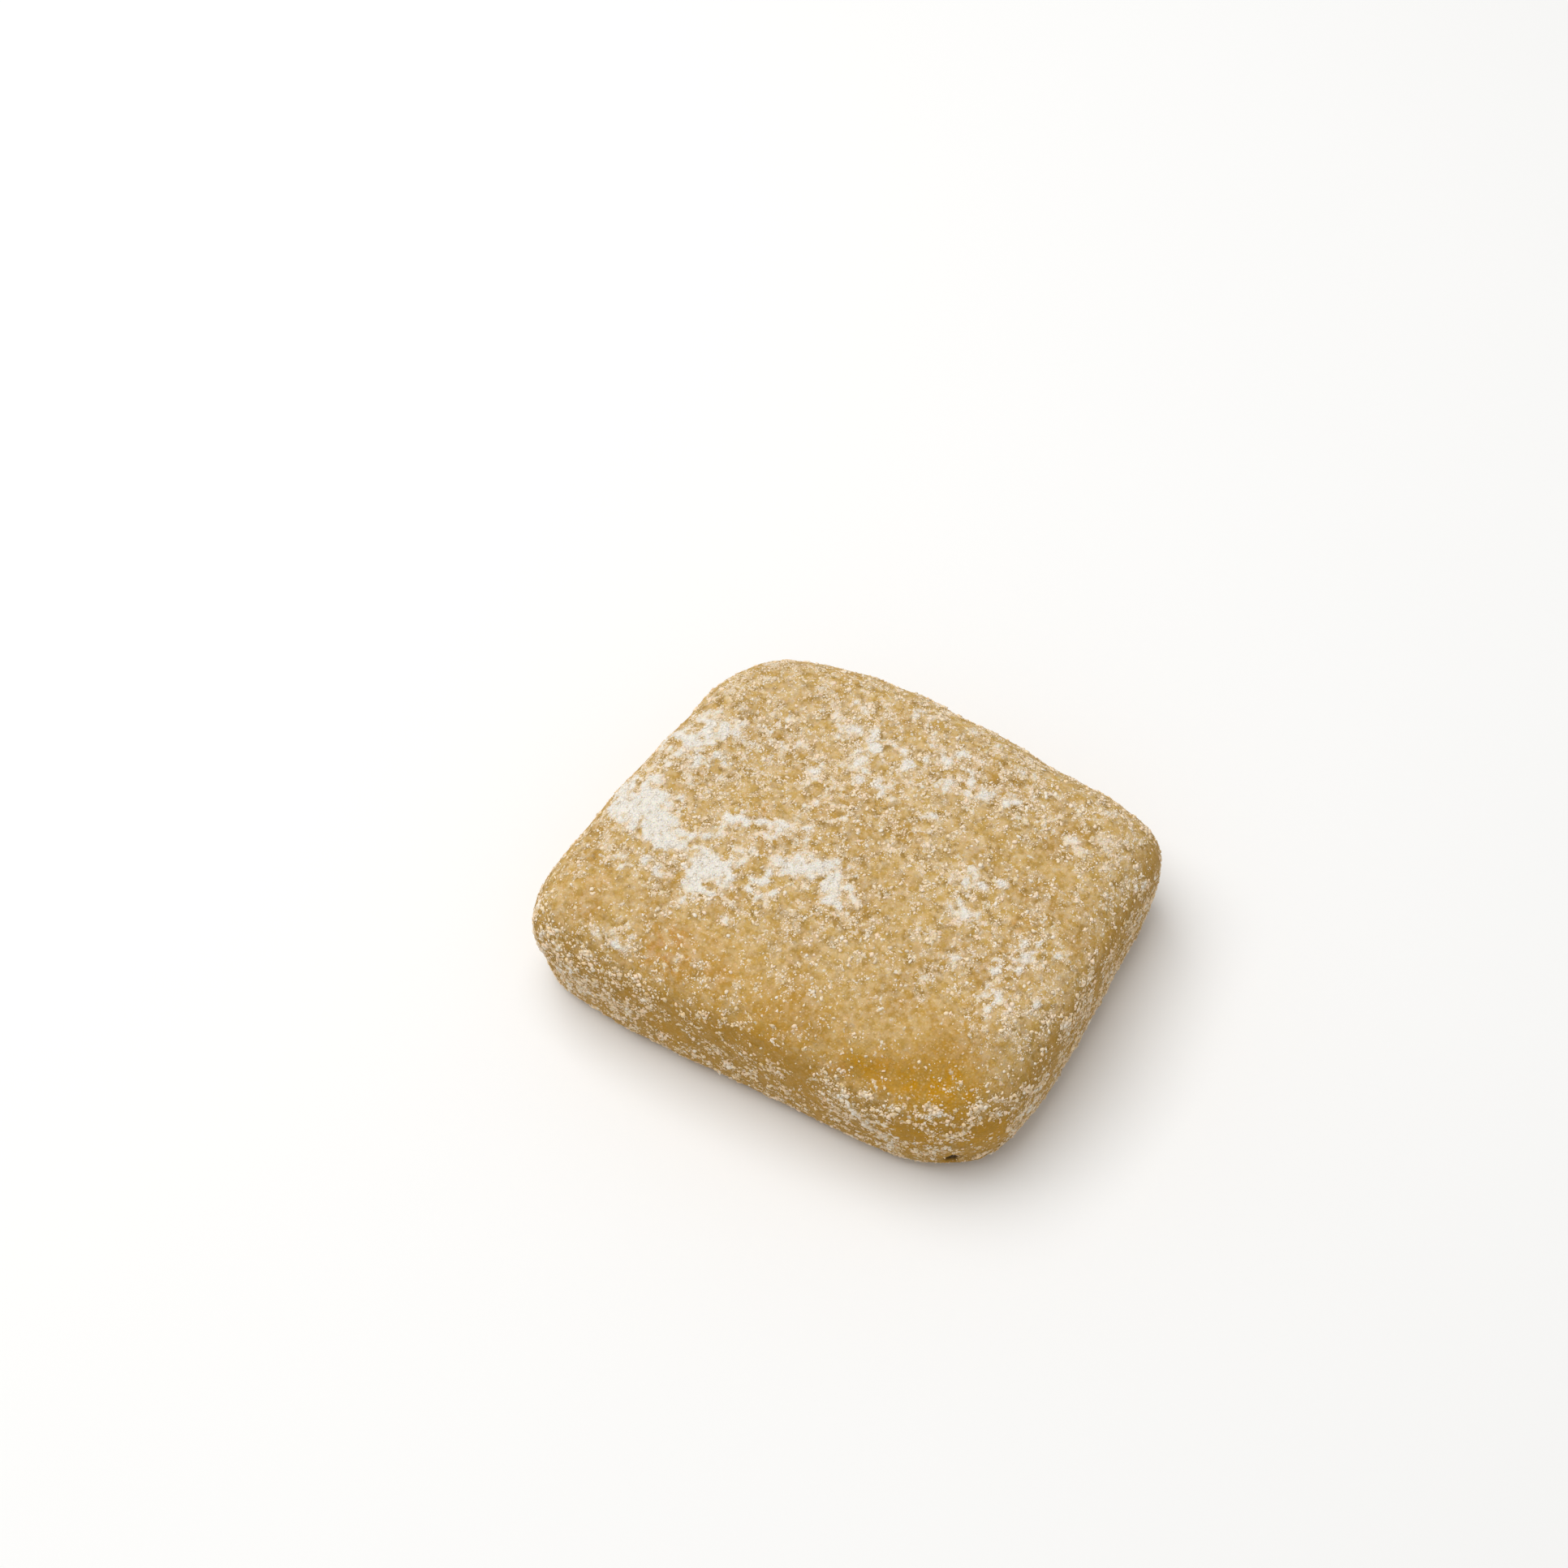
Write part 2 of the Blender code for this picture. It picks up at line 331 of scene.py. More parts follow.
# Sizes of the patterns in the dough's finish.
MOTTLE_SIZE = 5.0 * MM
STREAK_SIZE = 1.3 * MM
BLUSH_SPECK_SIZE = 1.0 * MM
BRAN_SIZE = 0.9 * MM
HUSK_SIZE = 0.24 * MM
FILM_SIZE = 0.8 * MM
PORE_SIZE = 0.7 * MM
# Height of the relief that the finish shows by shading alone.
RELIEF_HEIGHT = 0.14 * MM
# Sizes of the patterns in the finest powder, and how far the edges of its grains wander.
SPECK_SIZE = 0.6 * MM
CLUSTER_SIZE = 1.3 * MM
POWDER_CELLS = (0.62 * MM, 0.36 * MM, 0.21 * MM)
WOBBLE_SIZE = 0.4 * MM
WOBBLE_REACH = 0.45 * MM
# Sizes of the tints in the flour, of the painted shade in the pits between its grains and of the dull spots
# on a grain.
TINT_SIZE = 0.9 * MM
PIT_SHADE_SIZE = 0.3 * MM
GRAIN_TEXTURE_SIZE = 0.2 * MM

# The floor's size and the size of its faint clouds.
FLOOR_SIZE = 4.0
FLOOR_CLOUD_SIZE = 60 * MM
# The soft light overhead, a little to the left: the direction that it is in, its distance and its size.
KEY_DIRECTION = (-0.32, 0.05, 1.0)
KEY_DISTANCE = 0.6
KEY_SIZE = 0.5
SKY_COLOUR = (1.0, 0.99, 0.97, 1.0)
CAMERA_CLIP_START = 10 * MM


def colour_setting(name, description, red, green, blue):
    """A colour that the user can change."""
    default = (red, green, blue, 1.0)
    return FloatVectorProperty(
        name=name, description=description, default=default, subtype="COLOR", size=4, min=0.0, max=1.0
    )


def number_setting(name, description, default, unit="LENGTH", least=0.0):
    """A length that the user can change, or another number where the unit says so."""
    return FloatProperty(
        name=name, description=description, default=default, min=least, unit=unit, precision=5
    )


def angle_setting(name, description, degrees):
    """An angle that the user can change."""
    return FloatProperty(name=name, description=description, default=math.radians(degrees), subtype="ANGLE")


def count_setting(name, description, default, least=1):
    """A whole number that the user can change."""
    return IntProperty(name=name, description=description, default=default, min=least)


class DoughSettings(bpy.types.PropertyGroup):
    """Sizes and colours of the sweet's dough."""

    cell: number_setting("Surface Cell", "Side of the fine surface's squares", 0.3 * MM, least=0.2 * MM)
    smoothing: count_setting("Smoothing", "How many times the bare surface is evened out", 14, 0)
    ripple_height: number_setting("Ripple Height", "Height of the shallow ripples", 0.12 * MM)
    crumb_height: number_setting("Crumb Height", "Height of the dough's fine unevenness", 0.05 * MM)
    crease_depth: number_setting("Crease Depth", "Depth of the crease under the top edge", 0.3 * MM)
    powder_height: number_setting("Powder Height", "How high the thickest flour stands", 0.09 * MM)
    golden: colour_setting("Golden", "The dough's main colour", 0.545, 0.345, 0.095)
    amber: colour_setting("Amber", "The dough's darker, treacly colour", 0.385, 0.19, 0.014)
    treacle: colour_setting("Treacle", "The clear amber of treacle at the surface", 0.545, 0.266, 0.009)
    # This brown is both the colour of bran flecks and painted shade in the gaps between flour grains.
    bran_and_gap_shade: colour_setting("Bran", "The darker, browner flecks of bran in the dough", 0.29, 0.168, 0.038)
    # Painted shade: dark brown dough inside the nick, darkened to near black to stand in for the shadow in
    # that hollow.
    painted_nick_shade: colour_setting("Crack", "The dark brown inside the nick", 0.05, 0.025, 0.006)
    blush: colour_setting("Blush", "The warm spots of darker treacle", 0.60, 0.25, 0.045)


class FlourSettings(bpy.types.PropertyGroup):
    """Sizes, numbers and colours of the flour on the sweet."""

    white: colour_setting("White", "Colour of the dry flour", 0.885, 0.845, 0.765)
    cream: colour_setting("Cream", "Colour of grains that have drawn up a little treacle", 0.94, 0.685, 0.35)
    rosy: colour_setting("Rosy", "Colour of roasted grains", 0.93, 0.64, 0.375)
    tan: colour_setting("Tan", "Colour of the darkest, toasted grains", 0.64, 0.43, 0.17)
    powder_size: number_setting("Powder Size", "Usual width of a grain of the powder", 0.2 * MM)
    grain_size: number_setting("Grain Size", "Usual width of a middling grain", 0.3 * MM)
    lump_size: number_setting("Lump Size", "Usual width of a small lump of flour", 0.4 * MM)
    top_count: count_setting("Powder on the Top", "Grains of powder on the top", 24500)
    side_count: count_setting("Powder on the Sides", "Grains of powder on the cut sides", 18000)
    top_grain_count: count_setting("Grains on the Top", "Middling grains on the top", 2600)
    side_grain_count: count_setting("Grains on the Sides", "Middling grains on the cut sides", 9000)
    lump_count: count_setting("Lumps", "Small lumps over the whole sweet", 420)


class StageSettings(bpy.types.PropertyGroup):
    """The floor, the lights and the camera."""

    floor_colour: colour_setting("Floor", "Colour of the floor", 0.94, 0.94, 0.935)
    key_power: number_setting("Key Light", "Power of the large soft light overhead", 2.75, "POWER")
    sky_strength: number_setting("Sky Strength", "Strength of the even light from all round", 0.46, "NONE")
    azimuth: angle_setting("Azimuth", "The camera's direction, anticlockwise from straight in front", 33.0)
    elevation: angle_setting("Elevation", "Angle of the camera above the floor", 58.9)
    roll: angle_setting("Roll", "Turn of the camera about its own line of sight", -4.84)
    distance: number_setting("Distance", "Distance from the camera to its aim", 230.7 * MM)
    aim: FloatVectorProperty(
        name="Aim",
        description="The point on the floor that the camera aims at",
        default=(-14.46 * MM, 11.86 * MM, 0.0),
        subtype="XYZ",
        unit="LENGTH",
    )
    lens: number_setting("Lens", "The camera's focal length in millimetres", 50.0, "CAMERA")


# The settings of each step, by the step's name.
SETTINGS = {"dough": DoughSettings, "flour": FlourSettings, "stage": StageSettings}


def pick(piece):
    """Makes a piece the only selected one, and the active one."""
    bpy.ops.object.select_all(action="DESELECT")
    piece.select_set(True)
    bpy.context.view_layer.objects.active = piece


def work_in(modifier_type, piece, **values):
    """Puts a modifier on a piece, gives it its values and applies it."""
    pick(piece)
    modifier = piece.modifiers.new(modifier_type.lower(), modifier_type)
    for name, value in values.items():
        setattr(modifier, name, value)
    bpy.ops.object.modifier_apply(modifier=modifier.name)


def stepped(values, low, high):
    """A soft step from 0 at low to 1 at high."""
    share = np.clip((values - low) / (high - low), 0.0, 1.0)
    return share * share * (3.0 - 2.0 * share)


def noise_at(places, size, shift):
    """Smooth noise from about -1 to 1, with swells of a given size. The shift picks the pattern."""
    return np.array([noise.noise(place) for place in (places / size + shift).tolist()])


def in_patch(places, patch):
    """How much each place lies in an elliptical patch of the top and its thin rim, from 0 to about 1."""
    x, y, half_length, half_width, turn, _ = patch
    angle = math.radians(turn)
    away_x = places[:, 0] / MM - x
    away_y = places[:, 1] / MM - y
    along = (away_x * math.cos(angle) + away_y * math.sin(angle)) / half_length
    across = (away_y * math.cos(angle) - away_x * math.sin(angle)) / half_width
    apart = along**2 + across**2
    return PATCH_MIDDLE * np.exp(-apart) + PATCH_RIM * np.exp(-apart / RIM_SPREAD)


def flour_at(places, normals):
    """How much flour lies at each place of the surface, from 0, bare, to 1, covered."""
    wide = np.stack([noise_at(places, BAY_SIZES[0], shift) for shift in (11.3, 27.9, 43.1)], axis=1)
    narrow = np.stack([noise_at(places, BAY_SIZES[1], shift) for shift in (9.7, 33.3, 58.1)], axis=1)
    ragged = places + RAGGED_REACH * wide + RAGGED_REACH * narrow
    facing_up = stepped(normals[:, 2], *TURN_TO_TOP)

    cloud = noise_at(places, CLOUD_SIZES[0], 5.7) + noise_at(places, CLOUD_SIZES[1], 63.5)
    fleck = noise_at(places, FLECK_SIZES[0], 91.3) + 0.8 * noise_at(places, FLECK_SIZES[1], 14.9)
    towards_back = places[:, 1] / SOLID_HIGH.y
    patches = sum(patch[-1] * in_patch(ragged, patch) for patch in TOP_PATCHES)
    lace = 1.0 + LACE * noise_at(places, LACE_SIZE, 71.9) * (1.0 - stepped(patches, 0.5, 0.95))
    top = TOP_FLOUR + MORE_AT_BACK * towards_back + TOP_CLOUDS * cloud + patches * np.maximum(lace, 0.0)
    for spot in BARE_SPOTS:
        top *= 1.0 - spot[-1] * in_patch(ragged, spot)

    side = SIDE_FLOUR + SIDE_CLOUDS * cloud + near_spots(ragged, SIDE_PATCHES)
    flour = top * facing_up + side * (1.0 - facing_up)
    flour += FLECKS * fleck * stepped(flour, 0.0, 0.4)
    return np.clip(flour * (1.0 - stepped(nick_share(places), 0.15, 0.4)), 0.0, 1.0)


def near_spots(places, spots):
    """The sum of round soft spots, each a place and radius in millimetres and an amount."""
    total = np.zeros(len(places))
    for x, y, z, radius, amount in spots:
        apart = np.linalg.norm(places / MM - (x, y, z), axis=1) / radius
        total += amount * np.exp(-(apart**2))
    return total


def surface_of(mesh):
    """Places and outward normals of a mesh's points."""
    places = np.empty(len(mesh.vertices) * 3)
    normals = np.empty(len(mesh.vertices) * 3)
    mesh.vertices.foreach_get("co", places)
    mesh.vertex_normals.foreach_get("vector", normals)
    return places.reshape(-1, 3), normals.reshape(-1, 3)


def add_layer(mesh, name, values):
    """Gives each point of a mesh a value that the piece's finish reads."""
    layer = mesh.attributes.new(name, "FLOAT", "POINT")
    layer.data.foreach_set("value", values.astype(np.float32))


def copy_of_solid(name):
    """A new piece with the solid's form, merged into one surface."""
    piece = bpy.data.objects.new(name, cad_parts[SOLID].data.copy())
    piece.data.materials.clear()
    bpy.context.scene.collection.objects.link(piece)
    pick(piece)
    bpy.ops.object.mode_set(mode="EDIT")
    bpy.ops.mesh.select_all(action="SELECT")
    bpy.ops.mesh.remove_doubles(threshold=MERGE_DISTANCE)
    bpy.ops.object.mode_set(mode="OBJECT")
    return piece


def crease_depth(places):
    """Share of the crease's depth at each place: a groove along the front side under its top edge."""
    start, end = np.array(CREASE_START) * MM, np.array(CREASE_END) * MM
    run = end - start
    seen = places[:, (0, 2)] - start
    along = np.clip(seen @ run / (run @ run), 0.0, 1.0)
    away = np.linalg.norm(seen - along[:, None] * run, axis=1)
    in_front = places[:, 1] < SOLID_LOW.y / 2
    return np.exp(-((away / CREASE_HALF_WIDTH) ** 2)) * in_front


def dent_rim(places):
    """Share of the height of the rim round the shallow dent in the top."""
    away = places[:, :2] / MM - DENT_MIDDLE
    direction = np.degrees(np.arctan2(away[:, 1], away[:, 0]))
    from_rim = np.linalg.norm(away, axis=1) - DENT_RADIUS
    past_start = stepped(direction, DENT_ENDS[0], DENT_ENDS[0] + DENT_SOFT_END)
    before_end = stepped(-direction, -DENT_ENDS[1], -DENT_ENDS[1] + DENT_SOFT_END)
    on_top = places[:, 2] > SOLID_HIGH.z / 2
    return np.exp(-((from_rim / DENT_HALF_WIDTH) ** 2)) * (past_start * before_end) * on_top


def pit(places, middle, radius):
    """Share of the depth of a round pit at each place."""
    away = np.linalg.norm(places / MM - middle, axis=1)
    return np.exp(-((away / radius) ** 2))


def nick_share(places):
    """Share of the nick's depth at each place: a short upright split, pointed at its top. The finish paints
    shade inside the nick by this share.
    """
    facing = math.radians(NICK_FACES)
    away = places[:, :2] / MM - NICK
    out = away @ (math.cos(facing), math.sin(facing))
    along = away @ (-math.sin(facing), math.cos(facing))
    along += NICK_WANDER[0] * noise_at(places, NICK_WANDER_SIZES[0], 19.0)
    height = places[:, 2] / MM + NICK_WANDER[1] * noise_at(places, NICK_WANDER_SIZES[1], 52.0)
    above_foot = stepped(height, NICK_ENDS[0], NICK_ENDS[0] + NICK_SOFT_ENDS[0])
    below_head = stepped(NICK_ENDS[1] - height, 0.0, NICK_SOFT_ENDS[1])
    across = np.exp(-((along / NICK_HALF_WIDTH) ** 2))
    return across * (above_foot * below_head) * (np.abs(out) < NICK_REACH)


def press_relief(piece, dough):
    """Presses the relief into the dough, and keeps on its surface the values that its finish reads."""
    places, normals = surface_of(piece.data)
    flour = flour_at(places, normals)
    settled = stepped(places[:, 2], 0.0, 1.5 * MM)
    height = dough.ripple_height * noise_at(places, RIPPLE_SIZE, 61.0)
    height += dough.crumb_height * noise_at(places, CRUMB_SIZE, 17.0)
    height -= dough.crumb_height * 2.0 * stepped(noise_at(places, PIT_SIZE, 83.0), 0.42, 0.62)
    humps = 0.7 + 0.6 * noise_at(places, HUMP_SIZE, 7.0)
    height += dough.powder_height * stepped(flour, 0.35, 0.9) * humps
    height -= dough.crease_depth * crease_depth(places)
    height += dough.powder_height * dent_rim(places)
    nick = nick_share(places)
    height -= NICK_DEPTH * MM * nick + DIMPLE_DEPTH * MM * pit(places, DIMPLE, DIMPLE_RADIUS)
    places += normals * (height * settled)[:, None]
    places[:, 2] = np.maximum(places[:, 2], 0.0)
    piece.data.vertices.foreach_set("co", places.ravel())
    piece.data.update()
    wander = BLUSH_WANDER * normals * noise_at(places, BLUSH_BAY_SIZE, 13.0)[:, None]
    layers = {
        "flour": flour,
        "cut": 1.0 - stepped(normals[:, 2], 0.3, 0.9),
        "treacle": np.clip(near_spots(places, TREACLE_SPOTS), 0.0, 1.0),
        "blush": near_spots(places + wander, BLUSH_SPOTS),
        "nick": nick * settled,
    }
    for name, values in layers.items():
        add_layer(piece.data, name, values)


class Tree:
    """Lays out and links the nodes of one material or node group."""

    def __init__(self, node_tree):
        self.nodes = node_tree.nodes
        self.links = node_tree.links
        self.column = 0

    def add(self, kind, **values):
        """Adds a node with its properties. Its inputs are given by name, each as a value or a source."""
        node = self.nodes.new(kind)
        node.location = (self.column * 200, 0)
        self.column += 1
        inputs = values.pop("inputs", {})
        for name, value in values.items():
            setattr(node, name, value)
        for name, value in inputs.items():
            socket = node.inputs[name]
            if isinstance(value, bpy.types.NodeSocket):
                self.links.new(value, socket)
            else:
                socket.default_value = value
        return node

    def noise(self, vector, size, detail=2.0, roughness=0.5):
        """Noise with swells of a given size in metres."""
        inputs = {"Vector": vector, "Scale": 1.0 / size, "Detail": detail, "Roughness": roughness}
        return self.add("ShaderNodeTexNoise", inputs=inputs).outputs["Fac"]

    def step(self, value, low, high, start=0.0, end=1.0):
        """A soft step from start at low to end at high."""
        inputs = {"Value": value, "From Min": low, "From Max": high, "To Min": start, "To Max": end}
        node = self.add("ShaderNodeMapRange", interpolation_type="SMOOTHSTEP", inputs=inputs)
        return node.outputs["Result"]

    def math(self, operation, first, second=0.0, third=0.0):
        """A sum, product or other operation on two or three values."""
        inputs = {0: first, 1: second, 2: third}
        return self.add("ShaderNodeMath", operation=operation, inputs=inputs).outputs[0]

    def product(self, *values):
        """Two or more values multiplied."""
        result = values[0]
        for value in values[1:]:
            result = self.math("MULTIPLY", result, value)
        return result

    def mix(self, share, first, second, blend="MIX"):
        """A colour between two others, or the first one darkened by the second."""
        inputs = {0: share, 6: first, 7: second}
        node = self.add("ShaderNodeMix", data_type="RGBA", blend_type=blend, inputs=inputs)
        return node.outputs[2]

    def layer(self, name):
        """A value that the piece carries on its surface under a name."""
        return self.add("ShaderNodeAttribute", attribute_name=name).outputs["Fac"]

    def place(self):
        """The place on the piece, in metres."""
        return self.add("ShaderNodeTexCoord").outputs["Object"]


def new_group(name, takes, gives):
    """An empty node group whose sockets are given by name and kind, and its input and output nodes."""
    group = bpy.data.node_groups.new(name, "ShaderNodeTree")
    for way, sockets in (("INPUT", takes), ("OUTPUT", gives)):
        for socket, kind in sockets.items():
            group.interface.new_socket(socket, in_out=way, socket_type="NodeSocket" + kind)
    tree = Tree(group)
    return group, tree, tree.add("NodeGroupInput").outputs, tree.add("NodeGroupOutput").inputs


def flour_colour_group():
    """The flour's colour: dry white where it is thick, creamier or rosier in thin specks, with painted shade
    in the pits between its grains.
    """
    takes = {"Vector": "Vector", "Tone": "Float", "Kind": "Float"}
    takes.update({name: "Color" for name in ("White", "Cream", "Rosy", "Tan")})
    group, tree, given, out = new_group("flour_colour", takes, {"Color": "Color"})
    cloud = tree.noise(given["Vector"], TINT_SIZE, detail=3.0)
    usual_kinds = tree.step(given["Kind"], 0.1, 0.25, 0.4, 1.0)
    tone = tree.product(tree.step(cloud, 0.3, 0.7, 0.75, 1.0), given["Tone"], usual_kinds)
    thin = tree.mix(tree.step(given["Kind"], 0.6, 0.8, 0.0, 0.9), given["Cream"], given["Rosy"])
    from_toasted = tree.step(given["Kind"], 0.15, 0.22)
    up_to_toasted = tree.step(given["Kind"], 0.38, 0.46, 0.8, 0.0)
    thin = tree.mix(tree.product(from_toasted, up_to_toasted), thin, given["Tan"])
    # Painted shade: the flour is darkened in a fine pattern of pits, standing in for the shadow between its
    # grains.
    pit_shade = tree.step(tree.noise(given["Vector"], PIT_SHADE_SIZE, detail=2.0), 0.5, 0.68, 0.0, 0.5)
    tint = tree.mix(pit_shade, tree.mix(tone, given["White"], thin), SHADED_FLOUR, "MULTIPLY")
    tree.links.new(tint, out["Color"])
    return group


def grain_cells(tree, place, size, over):
    """One size of powder grain: how far inside a grain each place is, and a random number for each grain."""
    cells = tree.add("ShaderNodeTexVoronoi", inputs={"Vector": place, "Scale": 1.0 / size})
    drawn = tree.add("ShaderNodeSeparateColor", inputs={"Color": cells.outputs["Color"]}).outputs
    own_radius = tree.math("MULTIPLY_ADD", drawn["Red"], 0.4, 0.08)
    radius = tree.math("MULTIPLY_ADD", over, 4.0, own_radius)
    return tree.math("SUBTRACT", radius, cells.outputs["Distance"]), drawn["Green"]


def wobbled(tree, place):
    """The place moved about a little, so that grains get uneven edges."""
    inputs = {"Vector": place, "Scale": 1.0 / WOBBLE_SIZE, "Detail": 1.0}
    wobble = tree.add("ShaderNodeTexNoise", inputs=inputs).outputs["Color"]
    inputs = {0: wobble, 1: (0.5, 0.5, 0.5)}
    centred = tree.add("ShaderNodeVectorMath", operation="SUBTRACT", inputs=inputs).outputs["Vector"]
    inputs = {0: centred, 1: (WOBBLE_REACH, WOBBLE_REACH, WOBBLE_REACH), 2: place}
    return tree.add("ShaderNodeVectorMath", operation="MULTIPLY_ADD", inputs=inputs).outputs["Vector"]


def powder_group():
    """The finest powder: where it covers the dough, and how high it stands."""
    gives = {name: "Float" for name in ("Mask", "Thick", "Kind", "Height")}
    group, tree, given, out = new_group("fine_powder", {"Vector": "Vector", "Amount": "Float"}, gives)
    place = wobbled(tree, given["Vector"])
    speck = tree.noise(given["Vector"], SPECK_SIZE, detail=2.0, roughness=0.5)
    cluster = tree.noise(given["Vector"], CLUSTER_SIZE, detail=3.0, roughness=0.6)
    pattern = tree.math("ADD", tree.product(speck, 0.6), tree.product(cluster, 0.4))
    inputs = {"Value": given["Amount"], "To Min": 0.62, "To Max": 0.37}
    needed = tree.add("ShaderNodeMapRange", inputs=inputs).outputs["Result"]
    over = tree.math("SUBTRACT", pattern, needed)
    broad, broad_kind = grain_cells(tree, place, POWDER_CELLS[0], over)
    small, small_kind = grain_cells(tree, place, POWDER_CELLS[1], over)
    fine = grain_cells(tree, place, POWDER_CELLS[2], over)[0]
    on_broad = tree.step(broad, -0.05, 0.12)
    thick = tree.step(over, 0.04, 0.2)
    mask = tree.math("MAXIMUM", on_broad, tree.step(small, -0.08, 0.16))
    mask = tree.math("MAXIMUM", mask, tree.step(fine, -0.1, 0.16, 0.0, 0.5))
    mask = tree.math("MAXIMUM", mask, tree.product(thick, 0.85))
    kind = tree.math("MULTIPLY_ADD", on_broad, tree.math("SUBTRACT", broad_kind, small_kind), small_kind)
    domes = tree.math("MAXIMUM", tree.step(broad, -0.05, 0.4), tree.step(small, -0.05, 0.45, 0.0, 0.55))
    for socket, value in (("Mask", mask), ("Thick", thick), ("Kind", kind), ("Height", domes)):
        tree.links.new(value, out[socket])
    return group


def use_group(tree, group, **inputs):
    """Places a node group and gives its inputs their values or sources."""
    return tree.add("ShaderNodeGroup", node_tree=group, inputs=inputs).outputs


def flour_tint(tree, flour, groups, place, tone, kind):
    """The flour's colour at a place, from white at tone 0 to cream at tone 1, or rosy where kind is high."""
    colours = {name.capitalize(): getattr(flour, name) for name in ("white", "cream", "rosy", "tan")}
    return use_group(tree, groups["colour"], Vector=place, Tone=tone, Kind=kind, **colours)["Color"]


def new_material(name):
    """An empty material, its node layout and its shader."""
    material = bpy.data.materials.new(name)
    material.use_nodes = True
    material.node_tree.nodes.clear()
    tree = Tree(material.node_tree)
    shader = tree.add("ShaderNodeBsdfPrincipled")
    tree.add("ShaderNodeOutputMaterial", inputs={"Surface": shader.outputs["BSDF"]})
    return material, tree, shader


def bare_dough(tree, place, layers, dough):
    """The dough's colour: golden and amber, with streaks of treacle, warm spots and bran, and painted shade
    in the gaps between flour grains, where the bran colour shows more strongly under flour.
    """
    cut, pooled = layers["cut"], layers["treacle"]
    mottled = tree.step(tree.noise(place, MOTTLE_SIZE, detail=4.0), 0.42, 0.68, 0.0, 0.55)
    darker = tree.math("MAXIMUM", mottled, tree.product(cut, 0.75))
    colour = tree.mix(darker, dough.golden, dough.amber)

    streaks = tree.step(tree.noise(place, STREAK_SIZE, detail=3.0, roughness=0.6), 0.4, 0.58, 0.3, 1.0)
    less_on_cuts = tree.math("MULTIPLY_ADD", cut, -0.4, 1.0)
    colour = tree.mix(tree.product(pooled, less_on_cuts, streaks), colour, dough.treacle)

    specks = tree.step(tree.noise(place, BLUSH_SPECK_SIZE), 0.35, 0.6)
    colour = tree.mix(tree.product(layers["blush"], specks), colour, dough.blush)

    # Bran flecks show faintly on bare dough. Where flour lies they show more strongly, as painted shade in
    # the gaps between the flour grains.
    bran_and_gap_shade = tree.step(tree.noise(place, BRAN_SIZE, detail=3.0, roughness=0.6), 0.44, 0.6)
    gap_shade_under_flour = tree.step(layers["flour"], 0.05, 0.3, 0.33, 0.9)
    clear = tree.math("MAXIMUM", tree.product(pooled, 0.8), tree.product(cut, 0.3))
    shown = tree.product(gap_shade_under_flour, tree.math("SUBTRACT", 1.0, clear))
    return tree.mix(tree.product(bran_and_gap_shade, shown), colour, dough.bran_and_gap_shade)


def husk_and_grit(tree, place, cut, colour, dough, flour):
    """Adds dark husk and pale grit to the dough's colour, and says how far inside a speck each place is."""
    cells = tree.add("ShaderNodeTexVoronoi", inputs={"Vector": place, "Scale": 1.0 / HUSK_SIZE}).outputs
    drawn = tree.add("ShaderNodeSeparateColor", inputs={"Color": cells["Color"]}).outputs
    inside = tree.step(cells["Distance"], 0.35, 0.65, 1.0, 0.0)
    husk = tree.product(inside, tree.step(drawn["Red"], 0.5, 1.0, 0.0, 0.32))
    grit = tree.product(inside, tree.step(drawn["Green"], 0.45, 1.0, 0.0, 0.28))
    grit = tree.product(grit, tree.math("MULTIPLY_ADD", cut, -0.5, 1.0))
    colour = tree.mix(husk, colour, dough.bran_and_gap_shade)
    return tree.mix(grit, colour, flour.cream), inside


def haze_of_flour(tree, place, layers):
    """How much of the dough an even haze of flour hides: less where the dough is clear or cut."""
    amount = layers["flour"]
    cloudy = tree.step(tree.noise(place, FILM_SIZE, detail=4.0, roughness=0.6), 0.38, 0.62, 0.05, 1.0)
    film = tree.product(cloudy, tree.step(amount, 0.05, 0.3, 0.3, 0.42))
    clear = tree.math("MAXIMUM", layers["treacle"], tree.product(layers["cut"], 0.66))
    film = tree.product(film, tree.step(clear, 0.0, 1.0, 1.0, 0.0))
    return tree.math("ADD", film, tree.step(amount, 0.4, 1.0, 0.0, 0.35))


